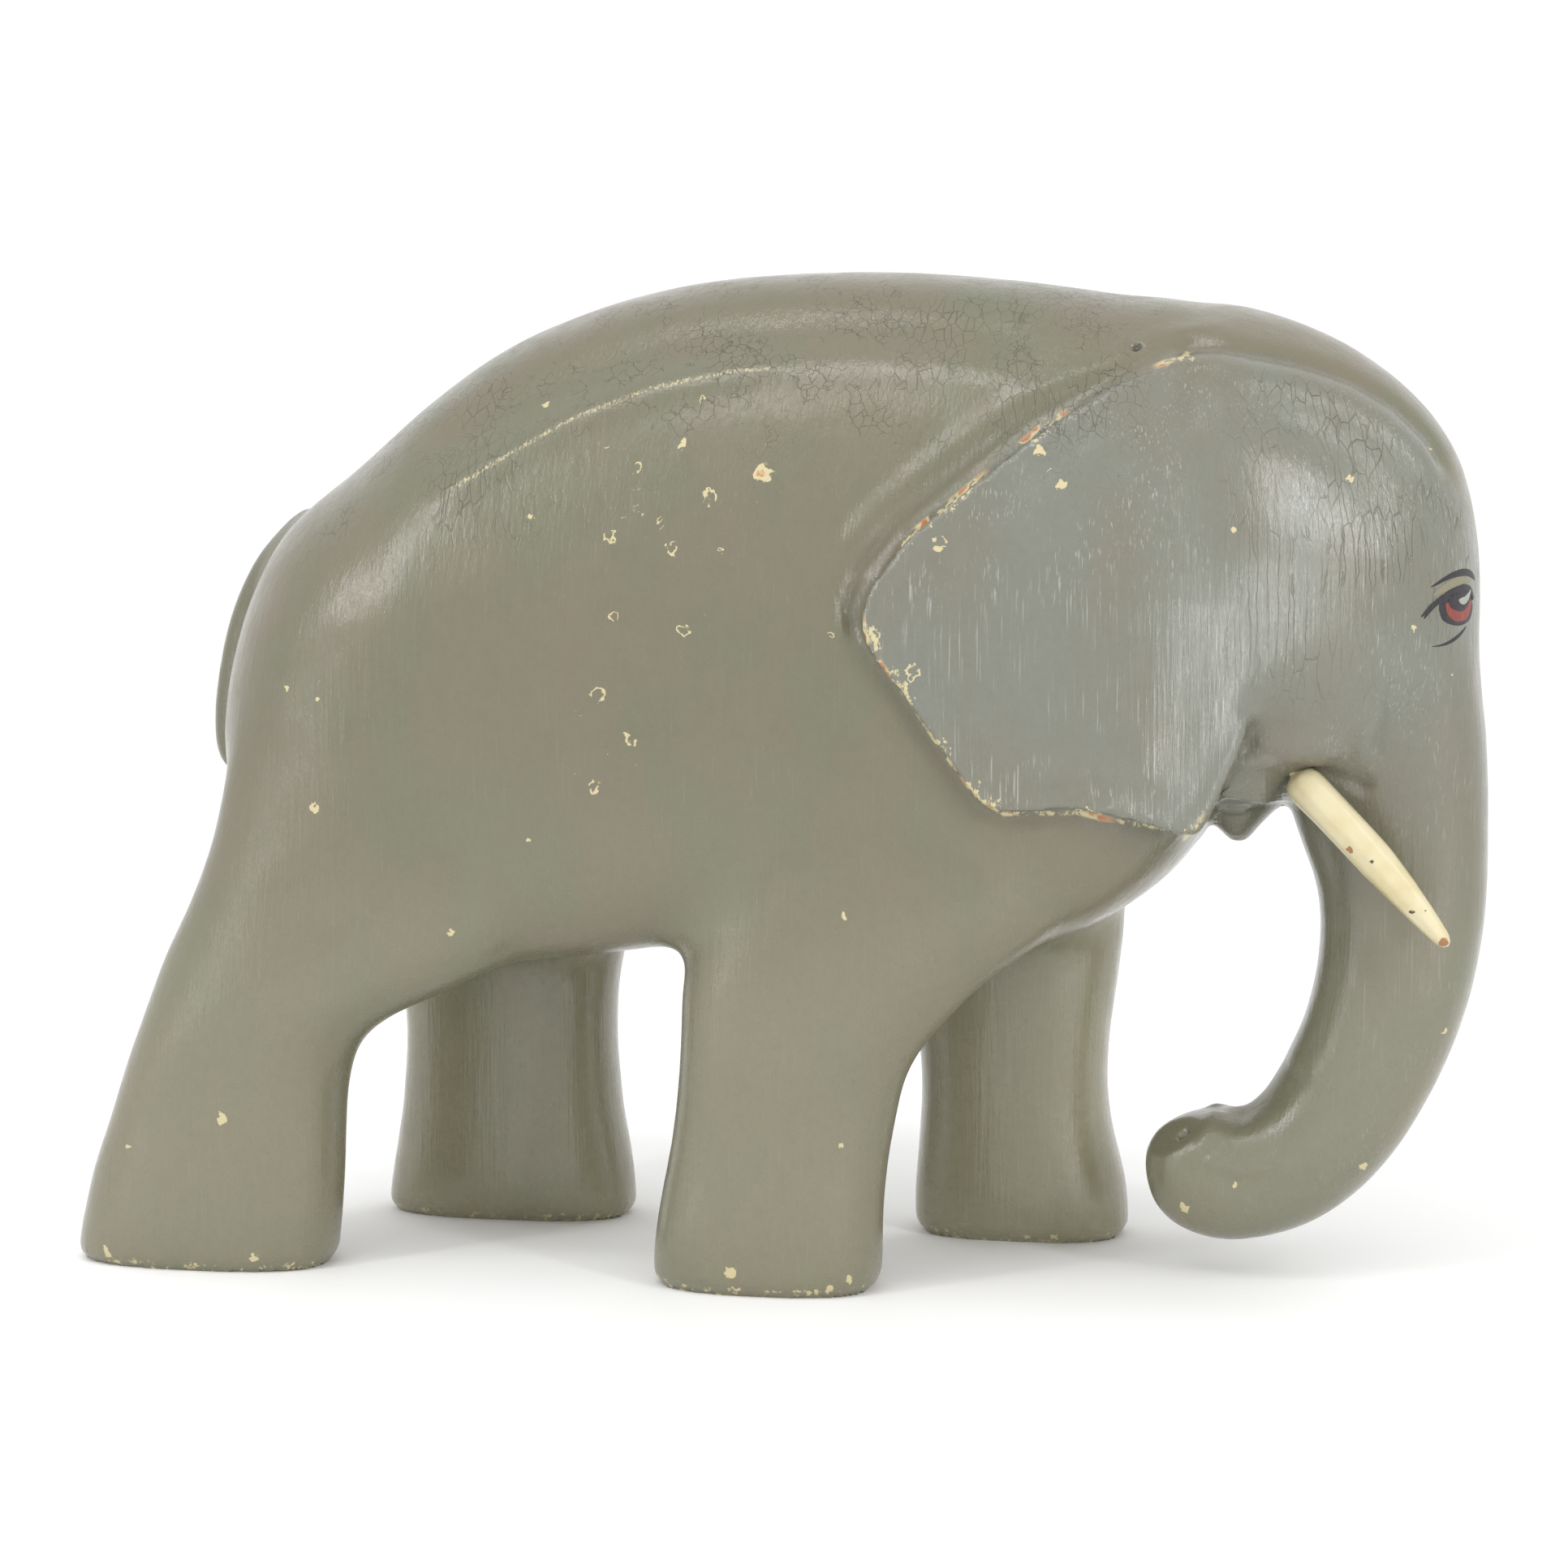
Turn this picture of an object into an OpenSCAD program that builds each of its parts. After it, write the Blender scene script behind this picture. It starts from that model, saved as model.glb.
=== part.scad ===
// Carved and painted wooden elephant, walking.
// Three boards are glued face to face and carved: the core board holds the head, the trunk,
// the lower lip and the tail, and each side board holds a flank, an ear and two legs.
// Two turned tusks are glued with round tenons into sockets in the cheeks.
// +X points to the front of the elephant, +Z up, and the floor is at Z = 0.

/* [Overall] */
// Length from the back of the right hind foot to the front of the trunk
overall_length = 395; // [320:1:480]
// Height from the floor to the top of the back
overall_height = 281; // [230:1:340]

/* [Boards] */
// Thickness of the core board
core_board_t = 40; // [32:1:50]
// Thickness of each side board at the flank
side_board_t = 38; // [30:1:46]
// How far the legs stand out from the flank
leg_relief = 1.5; // [1:0.5:4]
// How far the ears stand out from the flank
ear_relief = 5; // [3:0.5:8]
// Rounding of the bottom edges of the feet
foot_ease = 4.5; // [2:0.5:9]

/* [Trunk and tail] */
// Width of the trunk from side to side
trunk_w = 39; // [30:1:39.5]
// Width of the lower lip from side to side
lip_w = 36; // [20:1:38]
// Width of the tail from side to side
tail_w = 13; // [8:1:20]

/* [Tusks] */
// Largest diameter of a tusk
tusk_d = 11; // [9:0.5:13]
// Length of a tusk outside the cheek
tusk_length = 61; // [50:1:80]
// Diameter of the tenon on the root of a tusk
tenon_d = 7; // [5:0.5:7.5]
// Length of the tenon
tenon_length = 20; // [12:1:24]
// Glue gap around and behind the tenon
glue_gap = 0.1; // [0.05:0.05:0.3]
// Distance from the side of the core board to the middle of the tusk's root
tusk_offset = 10.5; // [9:0.5:15]
// How far the tusk spreads outwards, in degrees
tusk_spread = 8; // [0:1:14]
// How far the tusk points down, in degrees
tusk_drop = 47; // [38:1:54]

/* [Hidden] */

// The outlines below are drawn for this length and height, and follow the ones above.
drawn_length = 395;
drawn_height = 281;
// Middle of the drawn outlines, which becomes X = 0.
drawn_middle = 1.5;
kx = overall_length / drawn_length;
kz = overall_height / drawn_height;

core_y = core_board_t / 2;
flank_y = core_y + side_board_t;
leg_y = flank_y + leg_relief;
ear_y = flank_y + ear_relief;
// The side boards' legs stay this far clear of the glue line.
leg_inset = 0.5;
far_away = 600;

span_steps = 3;
ring_steps = 11;
ring_limit = 86;
leg_points = 32;
trunk_points = 26;

enamel = [0.54, 0.55, 0.48];
ivory_paint = [0.90, 0.86, 0.70];

// Body outline at the middle of the core board, from the rump over the back to the chest.
// Each point is [x, z, squareness of the section there].
torso_outline = [
    [-158.5, 142, 2.9], [-156.5, 166, 2.8], [-150.5, 190, 2.5], [-140, 210, 2.3], [-119, 227, 2.2],
    [-96, 246.5, 2.2], [-70, 263, 2.2], [-35, 275, 2.2], [10, 280, 2.2], [56, 278.5, 2.2],
    [98, 273, 2.2], [116, 271, 2.2], [132, 262, 2.2], [142, 232, 2.3], [138, 165, 2.8],
    [123, 126, 3.4],
    [106, 107.5, 4.2], [84, 96, 4.6], [58, 90, 4.8], [20, 91, 4.8], [-15, 92.5, 4.8],
    [-60, 86.5, 4.8], [-105, 83, 4.4], [-134, 92, 3.8], [-151, 115, 3.2]];
torso_axis = [[-92, 172], [66, 176]];

// Head outline, from the neck over the brow to the mouth.
head_outline = [
    [88, 215, 2.1], [92, 244, 2], [104, 263, 2], [122, 270.5, 2], [137, 268, 2],
    [149, 264, 2], [161, 258, 2], [172, 250, 2.1], [181, 241, 2.2], [188.5, 230, 2.3],
    [193, 217, 2.4], [195.5, 202, 2.4], [196, 182, 2.4], [192, 160, 2.4], [179, 144, 2.4],
    [160, 134, 2.4], [142, 133, 2.4], [120, 140, 2.4], [96, 164, 2.2]];
head_axis = [[140, 198], [152, 192]];
// The side of the head runs inwards from the ear to the brow.
brow_narrowing = 0.42;
narrow_from = 92;
narrow_to = 200;

// Surface that the ears are cut from, which passes over the neck and reaches the cheek.
ear_blank_outline = [
    [-110, 170, 2.2], [-84, 240, 2.2], [-30, 272, 2.2], [20, 281, 2.2], [60, 281, 2.2],
    [100, 274, 2.2], [134, 266, 2.2], [160, 256, 2.3], [184, 234, 2.4], [197, 194, 2.4],
    [200, 134, 3], [190, 64, 4], [100, 44, 5], [10, 44, 4], [-84, 80, 3]];
ear_blank_axis = [[0, 180], [150, 180]];
// Edge of the ear, from its top corner back and down to its lower tip and up to the cheek.
ear_outline = [
    [128, 260], [118, 254.5], [101, 247], [83, 235], [65, 221], [48, 207],
    [38, 194], [35, 185], [37, 177], [46, 165], [57, 150], [66, 137.5],
    [74, 134.5], [92, 135.5], [108, 132.5], [120, 129], [124, 130.5], [128, 138],
    [134, 152], [139, 164], [150, 176], [156, 204], [152, 234], [142, 254]];

// Legs: [height, back, front, share of the full width].
right_hind = [
    [0, -196.5, -120, 1], [24, -192, -118, 0.98], [41, -186, -117.5, 0.97], [54, -181.5, -116, 0.98],
    [64, -177.5, -112, 1], [72, -174.5, -102, 1], [80, -171.5, -85, 1], [90, -167.5, -66, 1],
    [104, -161, -56, 1], [122, -154.5, -52, 0.97], [142, -150.5, -52, 0.9], [164, -147, -56, 0.78],
    [184, -142, -62, 0.55]];
left_hind = [
    [0, -129, -51.5, 1], [18, -126.5, -53, 1], [36, -123.5, -56, 0.97], [58, -122.5, -57.5, 0.97],
    [76, -126, -56, 1], [92, -135, -52, 1], [108, -143, -50, 0.99], [126, -147, -50, 0.94],
    [146, -149, -52, 0.86], [166, -147, -56, 0.74], [186, -141, -62, 0.5]];
right_front = [
    [0, -27, 37, 1], [20, -25, 37.5, 1], [38, -22, 39, 0.97], [54, -20, 42, 0.98],
    [64, -19, 46, 1], [74, -18.5, 54, 1], [86, -18, 66, 1], [100, -16, 84, 1],
    [116, -12, 92, 0.98], [136, -6, 94, 0.9], [160, 4, 90, 0.72]];
left_front = [
    [0, 34.5, 98, 1], [16, 34.8, 97, 1], [32, 36, 93, 0.98], [48, 36.5, 91.3, 0.97],
    [64, 34, 92.3, 1], [78, 28, 94.3, 1], [94, 18, 96, 1], [112, 8, 97, 0.98],
    [134, 2, 96, 0.9], [160, 6, 90, 0.72]];
leg_squareness = 2.6;
limb_squareness = 2.8;

// Trunk: [x, z, half of its depth, share of its width], from inside the head to the tip.
trunk_route = [
    [167, 190, 28, 1.42], [168, 168, 28.5, 1.4], [170, 149, 28.5, 1.28], [173, 131, 26.5, 1.12],
    [175.8, 112, 23.4, 1.02], [175.5, 94, 22, 1], [172, 76, 20.8, 0.99], [166, 60, 20, 0.97],
    [157, 44, 19.4, 0.95], [145, 32.5, 18.8, 0.93], [132, 28, 18.4, 0.92], [121, 28, 17.2, 0.88],
    [112, 27, 13, 0.74], [107, 26, 6.8, 0.42]];

lip_outline = [
    [104, 196, 2.2], [130, 200, 2.2], [160, 184, 2.2], [160, 156, 2.2], [146, 136, 2.2],
    [137, 126, 2.2], [133, 121.5, 2.2], [129, 121.5, 2.2], [123, 127.5, 2.2], [112, 136, 2.2],
    [98, 150, 2.2], [92, 176, 2.2]];
lip_axis = [[120, 168], [142, 168]];

// Tail: [x, z, half of its depth, share of its width].
tail_route = [
    [-136, 211, 6, 0.8], [-145, 201.5, 7, 0.9], [-152.5, 188, 7.5, 1], [-157.5, 174, 7.5, 1],
    [-160.5, 159, 7.5, 1], [-161.5, 148, 7, 1], [-161.5, 141, 5.5, 0.85], [-161, 137, 3, 0.55]];

// Root of the tusk on the cheek.
tusk_root = [at_x(147.5), 143 * kz];
tusk_y = core_y + tusk_offset;
tusk_tip_r = 2;

function at_x(x) = (x - drawn_middle) * kx;
function scaled(p) = [for (i = [0:len(p) - 1]) i == 0 ? at_x(p[0]) : i == 1 ? p[1] * kz : p[i]];
function scaled_all(points) = [for (p = points) scaled(p)];

// Catmull-Rom curve through the points.
function between(a, b, c, d, t) = 0.5 * (2 * b + (c - a) * t + (2 * a - 5 * b + 4 * c - d) * t * t
    + (3 * b - a - 3 * c + d) * t * t * t);
function closed_curve(p, steps) = let (n = len(p)) [
    for (i = [0:n - 1]) for (k = [0:steps - 1])
        between(p[(i + n - 1) % n], p[i], p[(i + 1) % n], p[(i + 2) % n], k / steps)];
function open_curve(p, steps) = let (n = len(p)) [
    for (i = [0:n - 2]) for (k = [0:(i == n - 2 ? steps : steps - 1)])
        between(p[max(i - 1, 0)], p[i], p[i + 1], p[min(i + 2, n - 1)], k / steps)];

// Signed power, which squares off a circle.
function squared(v, squareness) = sign(v) * pow(abs(v), 2 / squareness);
// Point of the segment nearest to p.
function nearest(p, seg) = let (
    d = seg[1] - seg[0],
    t = ((p - seg[0]) * d) / (d * d))
    seg[0] + d * min(max(t, 0), 1);
function ease(t) = let (u = min(max(t, 0), 1)) u * u * (3 - 2 * u);

// Solid through a list of rings with equal numbers of points, each turning the same way
// around the direction that the rings follow.
module skin(rings) {
    n = len(rings[0]);
    m = len(rings);
    sides = [for (i = [0:m - 2]) for (j = [0:n - 1]) let (
        a = i * n + j,
        b = i * n + (j + 1) % n,
        c = b + n,
        d = a + n) each [[a, c, b], [a, d, c]]];
    caps = [[for (j = [0:n - 1]) j], [for (j = [n - 1:-1:0]) (m - 1) * n + j]];
    polyhedron([for (r = rings) each r], concat(sides, caps), convexity = 12);
}

// Rounded body that has the given side outline and swells from it to half_w on each side.
module cushion(outline, axis, half_w, narrowing = 0) {
    pts = closed_curve(scaled_all(outline), span_steps);
    seg = scaled_all(axis);
    skin([for (i = [-ring_steps:ring_steps]) let (a = ring_limit * i / ring_steps) [
        for (p = pts) let (
            s = nearest([p[0], p[1]], seg),
            q = s + ([p[0], p[1]] - s) * squared(cos(a), p[2]),
            t = (q[0] - at_x(narrow_from)) / (at_x(narrow_to) - at_x(narrow_from)),
            w = half_w * (1 - narrowing * ease(t)),
            y = abs(i) == ring_steps ? sign(a) : squared(sin(a), p[2]))
            [q[0], y * w, q[1]]]]);
}

// Limb along a route in the middle plane, with an oval section.
module limb(route, width) {
    pts = open_curve(scaled_all(route), span_steps);
    last = len(pts) - 1;
    skin([for (i = [0:last]) let (
        p = pts[i],
        d = pts[min(i + 1, last)] - pts[max(i - 1, 0)],
        t = [d[0], 0, d[1]] / norm([d[0], d[1]]),
        v = cross(t, [0, 1, 0])) [
            for (k = [0:trunk_points - 1]) let (a = 360 * k / trunk_points)
                [p[0], 0, p[1]]
                + [0, 1, 0] * squared(cos(a), limb_squareness) * width / 2 * p[3]
                + v * squared(sin(a), limb_squareness) * p[2]]]);
}

function leg_ring(row, height, inset) = let (
    inner = core_y + leg_inset,
    full = (leg_y - inner) / 2,
    half_y = full * row[3] - inset,
    y = inner + full * row[3],
    half_x = (row[2] - row[1]) / 2 * kx - inset,
    x = (at_x(row[2]) + at_x(row[1])) / 2) [
        for (k = [0:leg_points - 1]) let (a = 360 * k / leg_points)
            [x + half_x * squared(cos(a), leg_squareness),
             y + half_y * squared(sin(a), leg_squareness),
             height]];

// Leg on the left side, standing on a flat sole with an eased edge.
module leg(rows) {
    curve = open_curve(rows, span_steps);
    sole = [for (a = [0:30:60]) leg_ring(rows[0], foot_ease * (1 - cos(a)), foot_ease * (1 - sin(a)))];
    shaft = [for (r = curve) if (r[0] * kz > foot_ease * 0.9) leg_ring(r, r[0] * kz, 0)];
    skin(concat(sole, shaft));
}

module ear() {
    intersection() {
        cushion(ear_blank_outline, ear_blank_axis, ear_y, brow_narrowing);
        rotate([90, 0, 0]) linear_extrude(height = far_away, center = true)
            polygon([for (p = closed_curve(scaled_all(ear_outline), span_steps)) [p[0], p[1]]]);
    }
}

// Body, head and trunk, which run through all three boards where they are wide enough.
module body_and_head() {
    cushion(torso_outline, torso_axis, flank_y);
    cushion(head_outline, head_axis, ear_y, brow_narrowing);
    limb(trunk_route, trunk_w);
}

module legs() {
    mirror([0, 1, 0]) {
        leg(right_hind);
        leg(right_front);
    }
    leg(left_hind);
    leg(left_front);
}

// What the two side boards are sawn from.
module side_carving() {
    body_and_head();
    ear();
    legs();
}

// The part of its children between two planes across the width, as one carved surface.
module sawn(y_from, y_to) {
    resize([0, 0, 0]) intersection() {
        union() children();
        translate([-far_away / 2, y_from, 0]) cube([far_away, y_to - y_from, far_away]);
    }
}

// Places its children on the left tusk's root, with their +Z along the tusk.
module at_tusk() {
    translate([tusk_root[0], tusk_y, tusk_root[1]])
        rotate([0, 0, tusk_spread]) rotate([0, 90 + tusk_drop, 0]) children();
}

// Hole for the tenon, and the seat that the root of the tusk is let into.
module socket() {
    at_tusk() {
        translate([0, 0, -tenon_length - glue_gap])
            cylinder(d = tenon_d + 2 * glue_gap, h = tenon_length + tusk_d, $fn = 48);
        translate([0, 0, -glue_gap])
            cylinder(d = tusk_d + 2 * glue_gap, h = tusk_length, $fn = 48);
    }
}

module tusk() {
    at_tusk() rotate_extrude($fn = 48) polygon([
        [0, -tenon_length], [tenon_d / 2, -tenon_length], [tenon_d / 2, 0],
        [tusk_d / 2 * 0.78, 0], [tusk_d / 2 * 0.94, tusk_length * 0.04],
        [tusk_d / 2, tusk_length * 0.12], [tusk_d / 2, tusk_length * 0.42],
        [tusk_d / 2 * 0.86, tusk_length * 0.64], [tusk_d / 2 * 0.6, tusk_length * 0.85],
        [tusk_tip_r, tusk_length - tusk_tip_r * 0.6], [tusk_tip_r * 0.5, tusk_length], [0, tusk_length]]);
}

module core_board() {
    color(enamel) sawn(-core_y, core_y) {
        body_and_head();
        cushion(lip_outline, lip_axis, lip_w / 2);
        limb(tail_route, tail_w);
    }
}

module left_board() {
    color(enamel) difference() {
        sawn(core_y, far_away / 2) side_carving();
        socket();
    }
}

module right_board() {
    color(enamel) difference() {
        sawn(-far_away / 2, -core_y) side_carving();
        mirror([0, 1, 0]) socket();
    }
}

module left_tusk() {
    color(ivory_paint) tusk();
}

module right_tusk() {
    color(ivory_paint) mirror([0, 1, 0]) tusk();
}

core_board();
right_board();
left_board();
right_tusk();
left_tusk();
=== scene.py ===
import math
import bpy
import bmesh
import numpy as np
from mathutils import Matrix, Vector, noise
from mathutils.bvhtree import BVHTree


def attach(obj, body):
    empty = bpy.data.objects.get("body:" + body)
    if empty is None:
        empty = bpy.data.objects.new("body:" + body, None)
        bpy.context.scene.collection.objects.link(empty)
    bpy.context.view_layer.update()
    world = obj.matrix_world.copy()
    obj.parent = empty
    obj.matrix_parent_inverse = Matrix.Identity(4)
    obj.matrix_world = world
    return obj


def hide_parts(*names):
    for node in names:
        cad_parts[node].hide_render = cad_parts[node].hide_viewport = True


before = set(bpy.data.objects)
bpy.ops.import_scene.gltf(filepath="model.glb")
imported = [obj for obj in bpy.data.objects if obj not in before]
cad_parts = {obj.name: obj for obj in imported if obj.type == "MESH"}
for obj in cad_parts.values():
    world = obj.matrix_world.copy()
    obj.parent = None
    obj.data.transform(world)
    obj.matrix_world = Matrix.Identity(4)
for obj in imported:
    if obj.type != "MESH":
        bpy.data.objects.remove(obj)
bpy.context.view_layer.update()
mm = 0.001  # lengths in the dictionaries are millimetres

viewSettings = {
    "distance": 950.0,      # from the middle of the figure
    "middle": 0.5,          # x that the camera turns about
    "turn": 11.0,           # degrees towards the head
    "height": 218.3,
    "tilt": 4.988,          # degrees down
    "lens": 76.64,
    "sensor": 36.0,
    "nearest": 10.0,
}
lightSettings = {
    "sky": 1.1,
    "paper": (0.95, 0.95, 0.95, 1),
    "paperRoughness": 0.8,
    "paperHalf": 6000.0,    # half the paper's side
    "aim": (0, 0, 140),     # where every lamp points
    "lamps": {              # where, how wide and high, how many watts
        "leftWindow": ((-900, -980, 760), (130, 560), 3.15),
        "rightWindow": ((1050, -900, 520), (80, 560), 1.6),
        "overhead": ((-380, -720, 1100), (480, 170), 1.2),
        "top": ((-110, -480, 1250), (360, 120), 1.3),
        "strip": ((860, -640, 640), (70, 480), 1.9),
        "leftLow": ((-980, -940, 110), (60, 420), 0.65),
        "rightLow": ((760, -970, 110), (50, 320), 1.4),
    },
}


def addObject(name, data):
    thing = bpy.data.objects.new(name, data)
    bpy.context.scene.collection.objects.link(thing)
    return thing


def makeCamera():
    turn = math.radians(viewSettings["turn"])
    away = viewSettings["distance"] * mm
    data = bpy.data.cameras.new("camera")
    data.sensor_width = viewSettings["sensor"]
    data.lens = viewSettings["lens"]
    data.clip_start = viewSettings["nearest"] * mm
    camera = addObject("camera", data)
    camera.location = (
        viewSettings["middle"] * mm + math.sin(turn) * away,
        -math.cos(turn) * away,
        viewSettings["height"] * mm,
    )
    camera.rotation_euler = (math.radians(90 - viewSettings["tilt"]), 0, turn)
    bpy.context.scene.camera = camera


def makeLamp(name, at, size, power):
    data = bpy.data.lights.new(name, "AREA")
    data.shape = "RECTANGLE"
    data.size = size[0] * mm
    data.size_y = size[1] * mm
    data.energy = power
    lamp = addObject(name, data)
    lamp.location = Vector(at) * mm
    aim = Vector(lightSettings["aim"]) - Vector(at)
    lamp.rotation_euler = aim.to_track_quat("-Z", "Y").to_euler()


def makeStage():
    world = bpy.data.worlds.new("studio")
    world.use_nodes = True
    sky = world.node_tree.nodes["Background"]
    sky.inputs["Color"].default_value = (1, 1, 1, 1)
    sky.inputs["Strength"].default_value = lightSettings["sky"]
    bpy.context.scene.world = world
    bpy.context.scene.view_settings.view_transform = "Standard"
    for name, (at, size, power) in lightSettings["lamps"].items():
        makeLamp(name + "Lamp", at, size, power)
    shape = bmesh.new()
    bmesh.ops.create_grid(shape, x_segments=1, y_segments=1, size=lightSettings["paperHalf"] * mm)
    mesh = bpy.data.meshes.new("floor")
    shape.to_mesh(mesh)
    shape.free()
    floor = addObject("floor", mesh)
    paper = bpy.data.materials.new("paper")
    paper.use_nodes = True
    shader = paper.node_tree.nodes["Principled BSDF"]
    shader.inputs["Base Color"].default_value = lightSettings["paper"]
    shader.inputs["Roughness"].default_value = lightSettings["paperRoughness"]
    mesh.materials.append(paper)


makeCamera()
makeStage()
print("view, light and floor")

skinSettings = {
    "voxel": 1.3,
    "fairSteps": 80,        # evens out the facets of the solids
    "edgeSteps": 6,         # keeps the ears, feet, lip and tail crisp
    "filletSteps": 140,     # fills the hollows where legs and trunk leave the body
    "filletRounds": 2,
    "filletLimit": 6,       # most that one round fills
    "filletBlur": 12,
    "leafSteps": 260,       # takes the fold out of the ears' broad faces
    "cutBlur": 2,           # rounds the gouge's edges
    "plugRadius": 4.2,      # closes the tusks' sockets
    "plugDepth": 38,
    "sole": 0.7,            # what is lower is flat on the floor
    "calm": 12,             # height over which the unevenness sets in
    "waves": ((34, 0.45), (13, 0.12)),   # length and height of the knife's unevenness
    "proudSteps": 40,       # how broad a rise or hollow is measured
    "proud": 0.8,           # height that counts as fully proud
    "hollow": 1.4,
    "half": 20,             # from the middle to either glue line
    "weld": 0.001,
}
# Where the solids' own edges stay crisp, and where an ear's broad face is: each pair is where the
# zone changes, and over how much.
crispZones = {"earEdge": (6, 7), "earOut": (36, 8), "feet": (4, 8), "tailBack": (-158, 8), "tailOut": (11, 7),
              "tailUp": (118, 10), "lip": (16, 8), "lipMiddle": (137, 0, 130), "lipSquash": (1, 0.4, 1)}
leafZones = {"inside": (6, 6), "out": (38, 8), "up": (132, 8), "front": (106, 14)}
# Edge of the ear, from the top corner back, down and forward to the cheek: x, out, z.
earEdge = [
    (116, 37, 255), (99, 43, 247.5), (79.5, 50, 236), (62, 55, 221), (45, 58, 207), (36.5, 60, 195),
    (33.5, 61, 186), (36, 61, 177), (44.5, 61, 165), (54.5, 61, 150), (64.5, 61, 137.5),
    (71, 61, 133.5), (90, 61, 134), (106, 59, 130.5), (119, 55, 127.5), (126.5, 54, 138),
    (132.5, 51, 151),
]
# Cuts of the gouge, and with a depth below zero, places that are left proud: the path, how wide,
# how deep. A path is x, distance out to either side, z.
gougeCuts = {
    "backHollow": ([(-98, 34, 224), (-78, 40, 237), (-55, 38, 248.5), (-31, 35, 257), (-6, 33, 261.5),
                    (24, 33, 263), (58, 34, 262), (86, 36, 255)], 11, 2.0),
    "backRidge": ([(-92, 50, 213), (-73, 49, 225), (-50, 46, 238), (-28, 44, 246.5),
                   (-6, 42.5, 251), (12, 42, 252)], 6, -1.1),
    "earGroove": ([(124, 27, 265), (112, 36, 259), (97, 43, 251), (77, 50, 239.5), (59, 55, 224.5),
                   (42, 58, 210), (32, 59, 197), (29, 59, 187), (32, 59, 176)], 3.2, 2.4),
    "neckRidge": ([(128, 22, 266), (108, 33, 262.5), (93, 41, 255), (73, 48, 244), (54, 53, 229),
                   (36, 56.5, 214), (25, 58, 199)], 4.5, -1.3),
    "headGroove": ([(110, 33.5, 256.5), (120, 32, 258), (134, 31, 256), (148.5, 26, 253),
                    (160, 22.5, 249), (171.5, 20, 242), (181, 18.5, 233), (186.5, 19, 221)], 3.5, 1.4),
    "headRidge": ([(107, 38, 249.5), (118, 37, 251), (132.5, 36.5, 249.5), (146.5, 31.5, 246.5),
                   (157, 27.5, 242.5), (167.5, 25.5, 236), (176.5, 23.5, 228), (182.5, 23, 218)], 5, -1.3),
    "headFlat": ([(108, 44, 240), (122, 43, 241), (136, 42, 238.5), (149, 38, 233), (158, 33, 225),
                  (165, 31, 213), (167, 31, 200)], 7.5, 1.0),
    "earHem": ([(35, 60, 176), (43.5, 60, 164), (53.5, 60, 149), (63.5, 60, 136), (71, 60, 131.5),
                (90, 60, 131.5), (104, 56, 128)], 3.2, 1.1),
    "cheekSwell": ([(134, 44, 150), (141, 40, 149.5), (150, 38, 149), (161, 34, 148)], 6, -1.7),
    "rootSwell": ([(136, 38, 150), (141, 36.5, 150), (146, 34, 150)], 7, -1.0),
    "cheekCrease": ([(147, 31, 142), (154, 30, 142), (160, 28, 140), (168, 24, 137.5)], 3.0, 2.2),
    "cheekEnd": ([(168.5, 35, 170), (169, 32, 156), (168.5, 27, 143)], 2.0, 0.9),
    "cheekRidge": ([(163.5, 35, 166), (164, 34, 155), (164, 28, 143)], 3.0, -0.7),
    "trunkInside": ([(150, 20, 131), (154, 19.5, 116), (155.5, 19.5, 100), (153.5, 19.5, 84), (148, 19, 68),
                     (140, 18.5, 57), (132, 18, 50)], 6, 1.9),
    "tailGroove": ([(-141, 8, 209), (-150, 8.4, 193), (-156, 8.8, 172), (-159, 8.8, 150),
                    (-160, 7, 136)], 3.0, 2.2),
    "trunkTop": ([(126, 6, 45), (136, 8, 46), (147, 9, 51.5), (152, 9, 60)], 10, 2.0),
    "trunkCrest": ([(121, 17, 33), (126, 17.5, 35), (132, 17.8, 32.5), (140, 18, 33.5), (147, 18, 38)],
                   3, -0.8),
    "trunkFold": ([(121, 16.5, 35), (122.5, 13, 41), (123.5, 7, 45), (124, 3, 46)], 3, -1.0),
    "nostril": ([(113.6, 10.5, 39.4), (115.2, 10, 41), (117.2, 9.3, 42.4)], 1.3, 2.6),
    "shoulderPit": ([(102.4, 34.1, 257), (103, 34, 257.2)], 1.5, 1.2),
    "hockHollow": ([(-128, 50, 118), (-118, 56, 104), (-104, 58, 96)], 16, 0.8),
}
gougeShape = {"steep": 1.4, "ends": 1.2}     # its hollow's profile, and how soon a long stroke is deep
# Flat cut at the end of the trunk: a point of the plane, its direction, how soft its edge is, and
# the ball that it works in.
tipCut = {"point": (113, 0, 43.4), "facing": (-0.52, 0.42, 0.74), "soft": 0.7,
          "middle": (112, 0, 38), "reach": (16, 6)}
# Where small cuts need more faces: the middle and radius of each ball.
fineSpots = [((116, 10, 42), 17), ((130, 12, 40), 13), ((157, 30, 144), 15), ((103, 34, 257), 6)]
fineSpots += [(at, 7) for at in earEdge]
fineSpots += [(tuple((p + q) / 2 for p, q in zip(a, b)), 7) for a, b in zip(earEdge, earEdge[1:])]
# Slope from the cheek to the lip: the cheek's x and distance out, the lip's distance out and z, and
# where the slope starts and ends.
cheekFill = {"cheek": [(128, 45), (134, 42.5), (141, 39), (150, 37)], "top": 147, "lip": (17, 118),
             "belly": 0.8, "back": (124, 3), "front": (138, 5), "out": (11, 6), "foot": (117, 2),
             "roof": (149, 3)}
earSharpening = {"start": 2, "reach": 5.5, "amount": 1.1, "limit": 0.9, "steps": 60}


def points(mesh):
    co = np.zeros(len(mesh.vertices) * 3)
    mesh.vertices.foreach_get("co", co)
    return co.reshape(-1, 3)


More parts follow.
